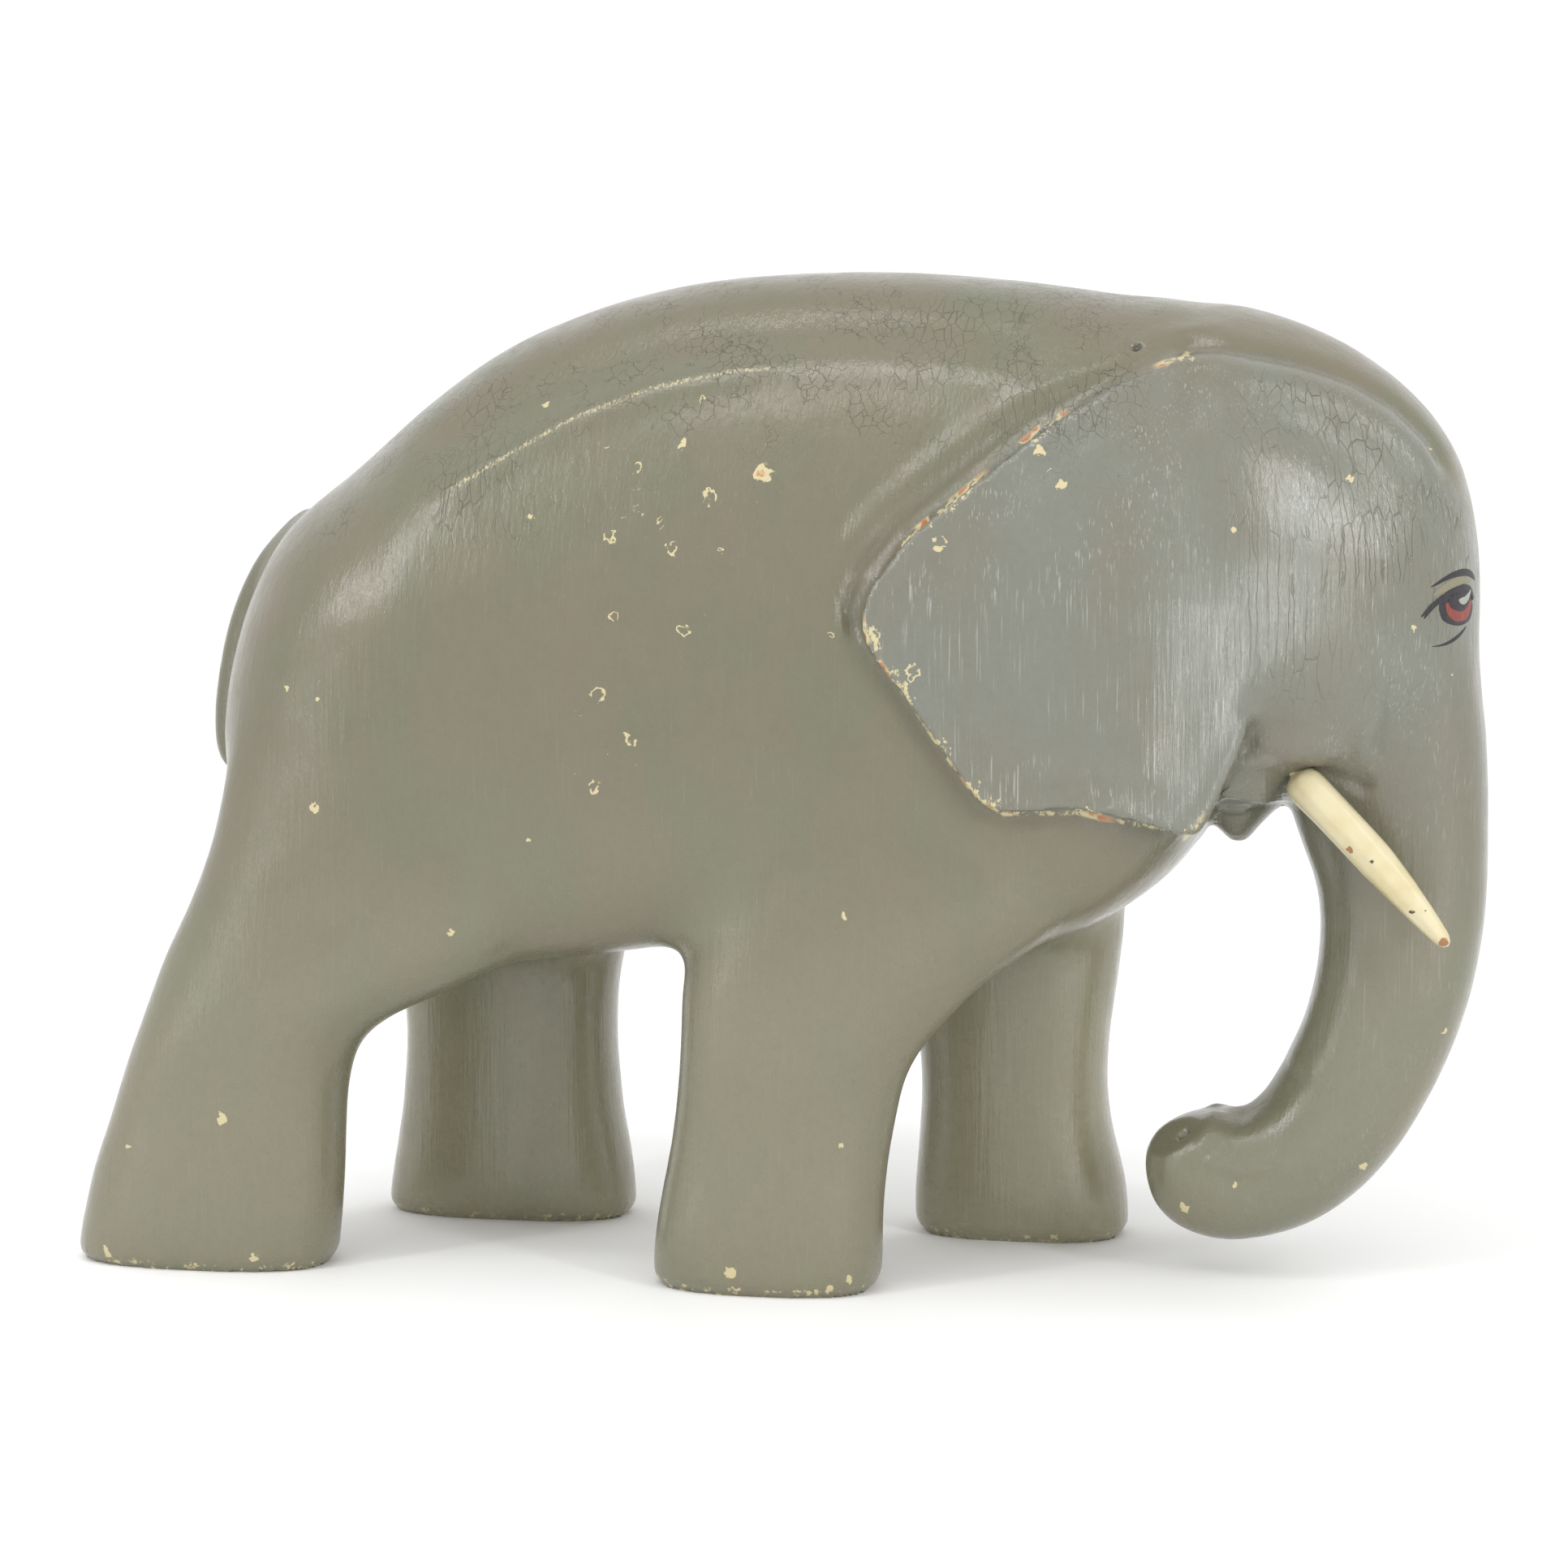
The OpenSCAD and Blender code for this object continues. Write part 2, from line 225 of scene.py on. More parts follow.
def tuskAxis(node):  # root end and direction of a tusk
    at = points(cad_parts[node].data)
    middle = at.mean(0)
    aim = np.linalg.svd(at - middle, full_matrices=False)[2][0]
    aim = aim if aim[0] > 0 else -aim
    along = (at - middle) @ aim
    return middle + aim * along.min(), aim


def joinBoards():
    shape = bmesh.new()
    for name in ("core_board", "right_board", "left_board"):
        shape.from_mesh(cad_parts[name].data)
    bmesh.ops.remove_doubles(shape, verts=shape.verts, dist=skinSettings["weld"] * mm)
    for name in ("right_tusk", "left_tusk"):
        root, aim = tuskAxis(name)
        place = Matrix.Translation(root) @ Vector(aim).to_track_quat("Z", "Y").to_matrix().to_4x4()
        bmesh.ops.create_cone(
            shape, cap_ends=True, segments=32, radius1=skinSettings["plugRadius"] * mm,
            radius2=skinSettings["plugRadius"] * mm, depth=skinSettings["plugDepth"] * mm, matrix=place)
    mesh = bpy.data.meshes.new("boards")
    shape.to_mesh(mesh)
    shape.free()
    return mesh


def remeshed(mesh, voxel):
    block = addObject("block", mesh)
    remesh = block.modifiers.new("remesh", "REMESH")
    remesh.mode = "VOXEL"
    remesh.voxel_size = voxel * mm
    done = bpy.data.meshes.new_from_object(block.evaluated_get(bpy.context.evaluated_depsgraph_get()))
    bpy.data.objects.remove(block)
    return done


class Clay:  # a skin whose points are pushed about together, in millimetres
    def __init__(self, mesh):
        self.block = addObject("clay", mesh)
        self.smooth = self.block.modifiers.new("smooth", "SMOOTH")
        self.smooth.factor = 1.0
        self.at = points(mesh) / mm

    def write(self, at):
        self.block.data.vertices.foreach_set("co", (at * mm).ravel())
        self.block.data.update()

    def blurred(self, at, steps):
        self.write(at)
        self.smooth.iterations = steps
        bpy.context.view_layer.update()
        view = bpy.context.evaluated_depsgraph_get()
        return points(self.block.evaluated_get(view).data) / mm

    def faired(self, steps):
        once = self.blurred(self.at, steps)
        return 2 * once - self.blurred(once, steps)

    def normals(self):
        self.write(self.at)
        out = np.zeros(len(self.at) * 3)
        self.block.data.vertex_normals.foreach_get("vector", out)
        return out.reshape(-1, 3)

    def folded(self):  # both sides laid over each other
        return self.at * (1, 0, 1) + np.abs(self.at) * (0, 1, 0)


def ease(value):
    t = np.clip(value, 0, 1)
    return t * t * (3 - 2 * t)


def above(value, start, soft):  # 0 below the start, 1 when past it by as much as it is soft
    return ease((value - start) / soft)


def below(value, start, soft):
    return 1 - above(value, start, soft)


def pathDistance(at, path):  # distance to the path, and how far along it
    best = np.full(len(at), np.inf)
    along = np.zeros(len(at))
    for i in range(len(path) - 1):
        a = np.array(path[i], float)
        run = np.array(path[i + 1], float) - a
        t = np.clip((at - a) @ run / (run @ run), 0, 1)
        far = np.linalg.norm(at - a - t[:, None] * run, axis=1)
        along = np.where(far < best, (i + t) / (len(path) - 1), along)
        best = np.minimum(best, far)
    return best, along


def sideView(path):
    return [(x, 0, z) for x, out, z in path]


def crispness(clay):  # 1 where the solids' own edges are kept
    zones = crispZones
    at = clay.folded()
    fromEdge = pathDistance(at * (1, 0, 1), sideView(earEdge))[0]
    fromLip = np.linalg.norm((at - zones["lipMiddle"]) * zones["lipSquash"], axis=1)
    ear = below(fromEdge, *zones["earEdge"]) * above(at[:, 1], *zones["earOut"])
    tail = below(at[:, 0], *zones["tailBack"]) * below(at[:, 1], *zones["tailOut"])
    tail = tail * above(at[:, 2], *zones["tailUp"])
    feet = below(at[:, 2], *zones["feet"])
    lip = below(fromLip, *zones["lip"])
    return np.clip(np.maximum.reduce([ear, feet, tail, lip]), 0, 1)[:, None]


sidewaysLimit = 15


def sidewaysDistance(at, path):  # in side view, above zero on the left of the path
    best = np.full(len(at), np.inf)
    for a, b in zip(path, path[1:]):
        run = np.array((b[0] - a[0], b[2] - a[2]), float)
        off = at[:, (0, 2)] - (a[0], a[2])
        t = np.clip(off @ run / (run @ run), 0, 1)
        off = off - t[:, None] * run
        far = np.linalg.norm(off, axis=1) * np.where(run[0] * off[:, 1] > run[1] * off[:, 0], 1, -1)
        best = np.where(np.abs(far) < np.abs(best), far, best)
    return np.clip(best, -sidewaysLimit, sidewaysLimit)


def insideEar(clay):  # 1 on the ear's broad face, away from its edge
    at = clay.folded()
    leaf = above(sidewaysDistance(at, earEdge), *leafZones["inside"]) * above(at[:, 1], *leafZones["out"])
    leaf = leaf * above(at[:, 2], *leafZones["up"]) * below(at[:, 0], *leafZones["front"])
    return leaf[:, None]


def gouge(clay, path, wide, deep):
    far, along = pathDistance(clay.folded(), path)
    steps = len(path) * gougeShape["ends"]
    ends = ease(along * steps) * ease((1 - along) * steps) if len(path) > 2 else 1
    bell = np.exp(-(far / wide) ** 2 * gougeShape["steep"]) * ends
    clay.at = clay.at - clay.normals() * (bell * deep)[:, None]


def sharpenEars(clay):
    ears = earSharpening
    at = clay.folded()
    fromEdge = pathDistance(at * (1, 0, 1), sideView(earEdge))[0]
    near = below(fromEdge, ears["start"], ears["reach"]) * above(at[:, 1], *crispZones["earOut"])
    apart = ((clay.at - clay.blurred(clay.at, ears["steps"])) * clay.normals()).sum(1)
    apart = np.clip(apart * ears["amount"], -ears["limit"], ears["limit"])
    clay.at = clay.at + clay.normals() * (apart * near)[:, None]


def trimTip(clay):  # both flats at the end of the trunk, left and right of its middle
    cut = tipCut
    for side in (1, -1):
        facing = np.array(cut["facing"]) * (1, side, 1)
        facing = facing / np.linalg.norm(facing)
        over = (clay.at - cut["point"]) @ facing
        near = below(np.linalg.norm(clay.at - cut["middle"], axis=1), *cut["reach"])
        push = np.where(over > 0, over, 0)
        push = push ** 2 / (push + cut["soft"])
        clay.at = clay.at - facing * (push * near)[:, None]


def fillCheek(clay):  # the cheek slopes in to the lip without a step
    out = np.abs(clay.at[:, 1])
    x, z = clay.at[:, 0], clay.at[:, 2]
    fill = cheekFill
    lipOut, lipUp = fill["lip"]
    rise = np.clip((z - lipUp) / (fill["top"] - lipUp), 0, 1) ** fill["belly"]
    wanted = lipOut + (np.interp(x, *zip(*fill["cheek"])) - lipOut) * rise
    share = above(x, *fill["back"]) * below(x, *fill["front"]) * above(out, *fill["out"])
    share = share * above(z, *fill["foot"]) * below(z, *fill["roof"])
    clay.at[:, 1] += np.sign(clay.at[:, 1]) * np.clip(wanted - out, 0, None) * share


def refine(mesh, spots):  # more faces where small cuts are made
    shape = bmesh.new()
    shape.from_mesh(mesh)
    edges = set()
    for face in shape.faces:
        p = face.calc_center_median() / mm
        p.y = abs(p.y)
        if any((p - Vector(at)).length < radius for at, radius in spots):
            edges.update(face.edges)
    bmesh.ops.subdivide_edges(shape, edges=list(edges), cuts=1, use_grid_fill=True, smooth=0.0)
    bmesh.ops.triangulate(shape, faces=[f for f in shape.faces if len(f.verts) > 4])
    shape.to_mesh(mesh)
    shape.free()


def unevenness(at):
    total = np.zeros(len(at))
    for length, height in skinSettings["waves"]:
        total += height * np.array([noise.noise(Vector(p)) for p in (at / length).tolist()])
    return total


def carve():
    skin = skinSettings
    mesh = remeshed(joinBoards(), skin["voxel"])
    clay = Clay(mesh)
    print("remeshed, points:", len(clay.at))
    sole = clay.at[:, 2] < skin["sole"]
    keep = crispness(clay)
    crisp = clay.blurred(clay.at, skin["edgeSteps"])
    clay.at = crisp * keep + clay.faired(skin["fairSteps"]) * (1 - keep)
    for _ in range(skin["filletRounds"]):
        fill = clay.blurred(clay.at, skin["filletSteps"])
        lift = np.clip(((fill - clay.at) * clay.normals()).sum(1), 0, skin["filletLimit"])
        clay.at = clay.at + clay.normals() * (lift * (1 - keep[:, 0]))[:, None]
    clay.at = clay.at * keep + clay.blurred(clay.at, skin["filletBlur"]) * (1 - keep)
    leaf = insideEar(clay)
    clay.at = clay.at * (1 - leaf) + clay.faired(skin["leafSteps"]) * leaf
    clay.at[sole, 2] = 0
    clay.write(clay.at)
    refine(mesh, fineSpots)
    clay.at = points(mesh) / mm
    fillCheek(clay)
    trimTip(clay)
    sharpenEars(clay)
    for path, wide, deep in gougeCuts.values():
        gouge(clay, path, wide, deep)
    clay.at = clay.blurred(clay.at, skin["cutBlur"])
    rise = unevenness(clay.at) * ease(clay.at[:, 2] / skin["calm"])
    clay.at = clay.at + clay.normals() * rise[:, None]
    clay.at[:, 2] = np.where(clay.at[:, 2] < skin["sole"], 0, clay.at[:, 2])
    print("carved, points:", len(clay.at))
    return clay


clay = carve()
skinNormals = clay.normals()


def addNumbers(mesh, name, values):
    layer = mesh.attributes.new(name, "FLOAT", "POINT")
    layer.data.foreach_set("value", values.astype(np.float32))


def addVectors(mesh, name, values):
    layer = mesh.attributes.new(name, "FLOAT_VECTOR", "POINT")
    layer.data.foreach_set("vector", values.astype(np.float32).ravel())


def markSkin():  # how proud and how hollow each point is, and its normal, for the split
    mesh = clay.block.data
    raised = ((clay.at - clay.blurred(clay.at, skinSettings["proudSteps"])) * skinNormals).sum(1)
    clay.write(clay.at)
    addNumbers(mesh, "proud", np.clip(raised / skinSettings["proud"], 0, 1))
    addNumbers(mesh, "hollow", np.clip(-raised / skinSettings["hollow"], 0, 1))
    addVectors(mesh, "skinNormal", skinNormals)


def sliced(name, low, high):  # the part of the skin between two glue lines, capped
    shape = bmesh.new()
    shape.from_mesh(clay.block.data)
    for place, facing in ((low, -1), (high, 1)):
        if place is None:
            continue
        bmesh.ops.bisect_plane(
            shape, geom=shape.verts[:] + shape.edges[:] + shape.faces[:], dist=1e-7,
            plane_co=(0, place, 0), plane_no=(0, facing, 0), clear_outer=True)
        rim = [edge for edge in shape.edges if edge.is_boundary]
        made = bmesh.ops.triangle_fill(shape, edges=rim, use_beauty=True, normal=(0, facing, 0))
        caps = [face for face in made["geom"] if isinstance(face, bmesh.types.BMFace)]
        for face in caps:
            face.smooth = False
            if face.normal.y * facing < 0:
                face.normal_flip()
    mesh = bpy.data.meshes.new(name)
    shape.to_mesh(mesh)
    shape.free()
    return mesh


def keepNormals(mesh):  # the whole skin's shading on each slice, so that a glue line stays unseen
    corner = np.zeros(len(mesh.loops), int)
    mesh.loops.foreach_get("vertex_index", corner)
    whole = np.zeros(len(mesh.vertices) * 3)
    mesh.attributes["skinNormal"].data.foreach_get("vector", whole)
    normals = whole.reshape(-1, 3)[corner]
    smooth = np.zeros(len(mesh.polygons), bool)
    mesh.polygons.foreach_get("use_smooth", smooth)
    corners = np.zeros(len(mesh.polygons), int)
    mesh.polygons.foreach_get("loop_total", corners)
    own = np.zeros(len(mesh.polygons) * 3)
    mesh.polygons.foreach_get("normal", own)
    face = np.repeat(np.arange(len(mesh.polygons)), corners)
    cap = ~smooth[face]
    normals[cap] = own.reshape(-1, 3)[face[cap]]
    mesh.attributes.remove(mesh.attributes["skinNormal"])
    mesh.normals_split_custom_set(normals.tolist())


enamelPaint = {
    "green": (0.130, 0.130, 0.080, 1),
    "warm": (0.146, 0.127, 0.082, 1),
    "blue": (0.162, 0.169, 0.144, 1),
    "pale": (0.36, 0.36, 0.33, 1),
    # Painted fill light: a pale colour mixed into the far legs' inner sides and the lower body, where the
    # lamps leave less light.
    "inner": (0.285, 0.270, 0.180, 1),
    "crack": (0.045, 0.039, 0.022, 1),
    # Dark colour for dirt specks, and for the painted shade in the hollows.
    "dirtAndShade": (0.090, 0.082, 0.050, 1),
    "primer": (0.50, 0.43, 0.24, 1),
    "wood": (0.36, 0.135, 0.040, 1),
    "holeShade": (103, -34, 257.2),   # painted shade in the small hole behind the right ear
    "roughness": 0.27,
    "coat": 0.46,
    # Where paint has flaked off the right side: x, z, radius.
    "filled": [(5, 223.5, 2.6), (-17.5, 231, 1.2), (-120.5, 131, 1.4), (-148.5, 44, 1.7), (130.5, 208.5, 0.9),
               (160, 222, 1.0), (79.5, 229, 1.5), (86, 220, 1.4), (-59, 212, 0.9), (-58, 242.5, 1.2),
               (-81.5, 98, 0.8), (28.5, 105.5, 0.9), (-59.5, 123.5, 0.7), (-177, 35, 0.8), (27, 43, 0.8),
               (-129.5, 164.5, 0.8), (-120, 162, 0.8), (177, 182.5, 1.1), (180, 230, 1.0),
               (187, 72, 0.9), (165.5, 34, 1.2), (116.5, 20.5, 1.5), (130.5, 27.5, 0.7),
               (118, 126.5, 2.2), (185.3, 195.6, 1.0), (184.7, 192.2, 0.9), (187, 170, 0.7),
               (-3, 7, 1.5), (29, 5, 1.6), (24, 3, 1.2), (-184, 4, 1.4), (-140, 4.5, 1.4)],
    "rings": [(-39.5, 231, 1.5), (-30, 225, 1.7), (-9, 217, 2.1), (-29, 214, 1.5), (-23, 211, 1.2),
              (-36.5, 206.5, 2.0), (-19, 203.5, 1.8), (-5.5, 203, 1.0), (-35, 185, 1.3),
              (-15.5, 181.5, 1.7), (24, 180.5, 1.1), (-39.5, 164, 2.3), (-30.5, 152, 2.0),
              (-40.5, 139, 2.0), (-13.5, 243.5, 1.1), (54, 205, 2.0), (47, 171, 2.2)],
    # Rubbed stretches of the ears' edges and the feet: x, out, z, radius.
    "rubbed": [(79, 50, 236, 9), (58, 56, 218, 10), (47, 58, 209, 8), (35, 61, 178, 8), (43, 61, 167, 9),
               (54, 61, 151, 7), (65, 61, 137, 9), (95, 60, 134, 9), (116, 55, 128, 9), (114, 36, 254, 7)],
    # The left side's own marks, from those of the right: start and factor of x, then of z, and how many.
    "leftFilled": (8, -0.93, 268, -0.7, slice(0, 22, 2)),
    "leftRings": (30, -1, 0, 0.9, slice(0, 16, 3)),
    "flakeReach": (1.6, 3.2),   # how far around a mark its ragged edge may run: share of the radius, and more
    "rubbedReach": (1.15, 0.5),
    "ridgeReach": (4, 4),
    "ridgeEnds": 8,
    "coatRoughness": 0.10,
    "glossRange": (0.3, 0.7, -0.05, 0.10),  # where the sheen changes, and by how much
    "bareRoughness": 0.25,                  # how much duller a flaked spot is
    "heights": {"grain": 0.11, "brush": 0.16, "fleck": 0.03, "cracked": -0.12},
}
# Patterns in the paint: height drawn out by, scale, detail, roughness.
enamelNoise = {
    "cloud": (0.6, 0.035, 4),
    "fleck": (1, 0.35, 5, 0.7),
    "scratch": (0.02, 1.9, 3, 0.6),
    "scratchPatch": (1, 0.05, 3),
    "grain": (0.045, 1.1, 4, 0.65),
    "brush": (0.10, 0.33, 2),
    "linePatch": (1, 0.045, 3),
    "scalePatch": (1, 0.06, 4, 0.7),
    "gap": (1, 0.36, 1),
    "chew": (0.6, 0.42, 4, 0.7),
    "patch": (1, 0.11, 2),
    "streak": (0.25, 1.5, 3, 0.7),
    "gloss": (1, 0.12, 4),
}
# Long upright cracks and small scales: cell size, line, wobble's scale and spread.
enamelCracks = {
    "lines": ((0.36, 0.36, 0.014), 0.040, 0.10, (2.5, 2.5, 20)),
    "scales": ((0.33, 0.33, 0.24), 0.036, 0.22, (5, 5, 5)),
}
# Where each share goes from 0 to 1, or from the third number to the fourth.
enamelFades = {
    "earEdge": (-0.6, 0.6), "earOut": (36, 44),
    "faceFront": (100, 140, 0.0, 0.85), "faceEdge": (0.5, -3.0), "faceLow": (100, 170, 0.3, 1.0),
    "warm": (0.34, 0.66), "blue": (0.75, 0.3, 0.45, 0.85), "lowLegFill": (150, 50, 0.0, 0.25),
    "legInside": (14, 26), "legMiddle": (56, 46), "legTop": (118, 98),
    "dirty": (0.35, 0.75, 0.0, 0.12), "hollowShade": (0.2, 0.7, 0.25, 0.7),
    "scratch": (0.57, 0.69), "scratchPatch": (0.42, 0.60),
    "headLines": (118, 150), "headLinesUp": (150, 190), "headLinesEdge": (-2.5, -8.0),
    "rumpLines": (-40, -80), "rumpLinesUp": (195, 215),
    "neckLines": (20, 50), "neckLinesEnd": (108, 94), "neckLinesUp": (215, 240), "linePatch": (0.38, 0.62),
    "backUp": (205, 250), "backEnd": (122, 96), "backOnly": (112, 104), "aboveBrow": (0, 2),
    "scalePatch": (0.47, 0.62),
    "flake": (1.0, 0.88), "ringHole": (0.72, 0.56), "gap": (0.43, 0.50),
    "rimStart": (-1.2, 0.2), "rimEnd": (9, 0), "worn": (0.55, 0.61),
    "crest": (1.2, 0.4), "crestWood": (0.52, 0.57), "crestPrimer": (0.46, 0.52),
    "hem": (0.9, 0.3), "hemUp": (168, 150), "hemFront": (125, 121), "hemWorn": (0.46, 0.54),
    "ridge": (1.5, 0.2), "ridgeWornSheen": (0.46, 0.62, 0.0, 0.75),
    "sole": (7, 2), "soleWorn": (1.12, 1.18),
    "flakeHeart": (0.55, 0.40), "bigFlake": (2.3, 2.5), "heartWood": (0.4, 0.6), "holeShade": (1.7, 1.2),
}
# How strongly each kind of wear shows, and how ragged it is.
enamelWear = {
    # The first entry is how strongly the painted fill light shows on the far legs' inner sides.
    "inner": 0.85, "scratchHead": 0.6, "scratchBody": 0.06, "lines": 0.7, "scales": 0.8,
    "worn": (0.55, 1.5), "ridge": (0.5, 1.6), "sole": (1.0, 1.8),
    "shakeScale": 0.42, "flakeShake": (4.2, 4.2, 5.0), "pitShake": (3, 3, 3), "smallest": 0.01,
}


class Nodes:  # short hand for a material's node tree, with its place in millimetres
    def __init__(self, name):
        self.material = bpy.data.materials.new(name)
        self.material.use_nodes = True
        self.tree = self.material.node_tree
        self.shader = self.tree.nodes["Principled BSDF"]
        self.place = self.vector("SCALE", self.add("ShaderNodeTexCoord").outputs["Object"])
        self.place.node.inputs["Scale"].default_value = 1 / mm

    def add(self, kind, *links, **settings):
        node = self.tree.nodes.new(kind)
        for key, value in settings.items():
            setattr(node, key, value)
        for slot, value in enumerate(links):
            self.feed(node.inputs[slot], value)
        return node

    def feed(self, socket, value):
        if isinstance(value, bpy.types.NodeSocket):
            self.tree.links.new(value, socket)
        elif value is not None:
            socket.default_value = value

    def math(self, operation, *links):
        return self.add("ShaderNodeMath", *links, operation=operation).outputs[0]

    def chain(self, operation, first, *others):
        for other in others:
            first = self.math(operation, first, other)
        return first

    def times(self, *parts):
        return self.chain("MULTIPLY", *parts)

    def most(self, *parts):
        return self.chain("MAXIMUM", *parts)

    def total(self, *parts):
        return self.chain("ADD", *parts)

    def swing(self, value, amount):  # a noise about zero
        return self.times(self.math("SUBTRACT", value, 0.5), amount)

    def vector(self, operation, *links):
        node = self.add("ShaderNodeVectorMath", *links, operation=operation)
        return node.outputs["Value" if operation in ("DISTANCE", "LENGTH") else "Vector"]

    def scaled(self, place, scale):
        node = self.add("ShaderNodeMapping", place)
        node.inputs["Scale"].default_value = scale
        return node.outputs[0]

    def noise(self, stretch, scale, detail=3.0, rough=0.55):
        place = self.place if stretch == 1 else self.scaled(self.place, (1, 1, stretch))
        node = self.add("ShaderNodeTexNoise", place)
        node.inputs["Scale"].default_value = scale
        node.inputs["Detail"].default_value = detail
        node.inputs["Roughness"].default_value = rough
        return node.outputs[0]

    def wobble(self, scale, spread, detail=3.0):
        colour = self.noise(1, scale, detail).node.outputs["Color"]
        return self.vector("MULTIPLY", self.vector("SUBTRACT", colour, (0.5, 0.5, 0.5)), spread)

    def ramp(self, value, low, high, first=0.0, last=1.0):
        node = self.add("ShaderNodeMapRange", interpolation_type="SMOOTHSTEP")
        self.feed(node.inputs["Value"], value)
        for key, number in (("From Min", low), ("From Max", high), ("To Min", first), ("To Max", last)):
            node.inputs[key].default_value = number
        return node.outputs[0]

    def mix(self, share, first, second):
        node = self.add("ShaderNodeMix", data_type="RGBA")
        self.feed(node.inputs["Factor"], share)
        self.feed(node.inputs[6], first)
        self.feed(node.inputs[7], second)
        return node.outputs[2]

    def attribute(self, name, output="Fac"):
        return self.add("ShaderNodeAttribute", attribute_name=name).outputs[output]

    def cracks(self, scale, thin, wobble, spread):  # thin lines between uneven cells
        shaken = self.vector("ADD", self.place, self.wobble(wobble, spread))
        cells = self.add("ShaderNodeTexVoronoi", self.scaled(shaken, scale), feature="DISTANCE_TO_EDGE")
        cells.inputs["Scale"].default_value = 1.0
        return self.ramp(cells.outputs["Distance"], thin, thin * 0.25)

    def bump(self, height):  # height in millimetres
        node = self.add("ShaderNodeBump")
        node.inputs["Strength"].default_value = 1.0
        node.inputs["Distance"].default_value = mm
        self.feed(node.inputs["Height"], height)
        self.feed(self.shader.inputs["Normal"], node.outputs[0])
        return node.outputs[0]


def onSkin(tree, x, z, side):  # where a line across the figure meets its side
    start = Vector((x * mm, side * 0.2, z * mm))
    hit = tree.ray_cast(start, Vector((0, -side, 0)))[0]
    return np.array(hit if hit else start) / mm


def leftMarks(marks, startX, turnX, startZ, turnZ, chosen):
    return [(startX + x * turnX, startZ + z * turnZ, r) for x, z, r in marks[chosen]]


def markFlakes(tree):  # from each point, the way to the nearest flake, with its size
    paint = enamelPaint
    mesh = clay.block.data
    spots = []
    for ring, kind, left in ((0, "filled", "leftFilled"), (1, "rings", "leftRings")):
        spots += [(onSkin(tree, x, z, -1), r, ring) for x, z, r in paint[kind]]
        spots += [(onSkin(tree, x, z, 1), r, ring) for x, z, r in leftMarks(paint[kind], *paint[left])]
    way = np.zeros((len(clay.at), 3))
    size = np.zeros(len(clay.at))
    ringed = np.zeros(len(clay.at))
    share, more = paint["flakeReach"]
    for centre, radius, ring in spots:
        toward = centre - clay.at
        near = np.linalg.norm(toward, axis=1) < radius * share + more
        way[near] = toward[near]
        size[near] = radius
        ringed[near] = ring
    addVectors(mesh, "flakeWay", way)
    addNumbers(mesh, "flakeSize", size)
    addNumbers(mesh, "flakeOpen", ringed)
    at = clay.folded()
    rub = np.zeros(len(at))
    reach, soft = paint["rubbedReach"]
    for x, out, z, radius in paint["rubbed"]:
        far = np.linalg.norm(at - (x, out, z), axis=1)
        rub = np.maximum(rub, ease((reach - far / radius) / soft))
    addNumbers(mesh, "rubbed", rub)
    addNumbers(mesh, "rimFar", sidewaysDistance(at, earEdge))
    addNumbers(mesh, "browFar", sidewaysDistance(at, gougeCuts["headGroove"][0]))
    ridge = gougeCuts["backRidge"][0]
    far, along = pathDistance(at, ridge)
    ends = ease(along * paint["ridgeEnds"]) * ease((1 - along) * paint["ridgeEnds"])
    addNumbers(mesh, "ridgeFar", sidewaysDistance(at, ridge))
    addNumbers(mesh, "ridgeNear", below(far, *paint["ridgeReach"]) * ends)


def fade(n, value, name):
    return n.ramp(value, *enamelFades[name])


def enamelPatches(n, fleck):  # green, warm and bluish paint, painted fill light on the far legs' inner sides and towards the floor, dirt specks, painted shade in the hollows, pale scratches
    paint = enamelPaint
    cloud = n.noise(*enamelNoise["cloud"])
    ear = n.times(fade(n, n.attribute("rimFar"), "earEdge"), fade(n, n.math("ABSOLUTE", n.y), "earOut"))
    face = n.times(fade(n, n.x, "faceFront"), fade(n, n.attribute("browFar"), "faceEdge"))
    head = n.most(ear, n.times(face, fade(n, n.z, "faceLow")))
    colour = n.mix(fade(n, cloud, "warm"), paint["green"], paint["warm"])
    # Painted fill light: the lower body is mixed lighter towards the floor.
    colour = n.mix(fade(n, n.z, "lowLegFill"), colour, paint["inner"])
    colour = n.mix(n.times(head, fade(n, cloud, "blue")), colour, paint["blue"])
    # Painted fill light: the far legs' inner sides, which the lamps light less, are painted lighter.
    inside = n.times(fade(n, n.y, "legInside"), fade(n, n.y, "legMiddle"), fade(n, n.z, "legTop"))
    colour = n.mix(n.times(inside, enamelWear["inner"]), colour, paint["inner"])
    colour = n.mix(fade(n, fleck, "dirty"), colour, paint["dirtAndShade"])
    scratch = fade(n, n.noise(*enamelNoise["scratch"]), "scratch")
    scratch = n.times(scratch, fade(n, n.noise(*enamelNoise["scratchPatch"]), "scratchPatch"))
    strength = n.total(n.times(head, enamelWear["scratchHead"]), enamelWear["scratchBody"])
    colour = n.mix(n.times(scratch, strength), colour, paint["pale"])
    # Painted shade: the hollows and creases are darkened with the dark colour, broken up by flecks.
    return n.mix(n.times(n.attribute("hollow"), fade(n, fleck, "hollowShade")), colour, paint["dirtAndShade"])


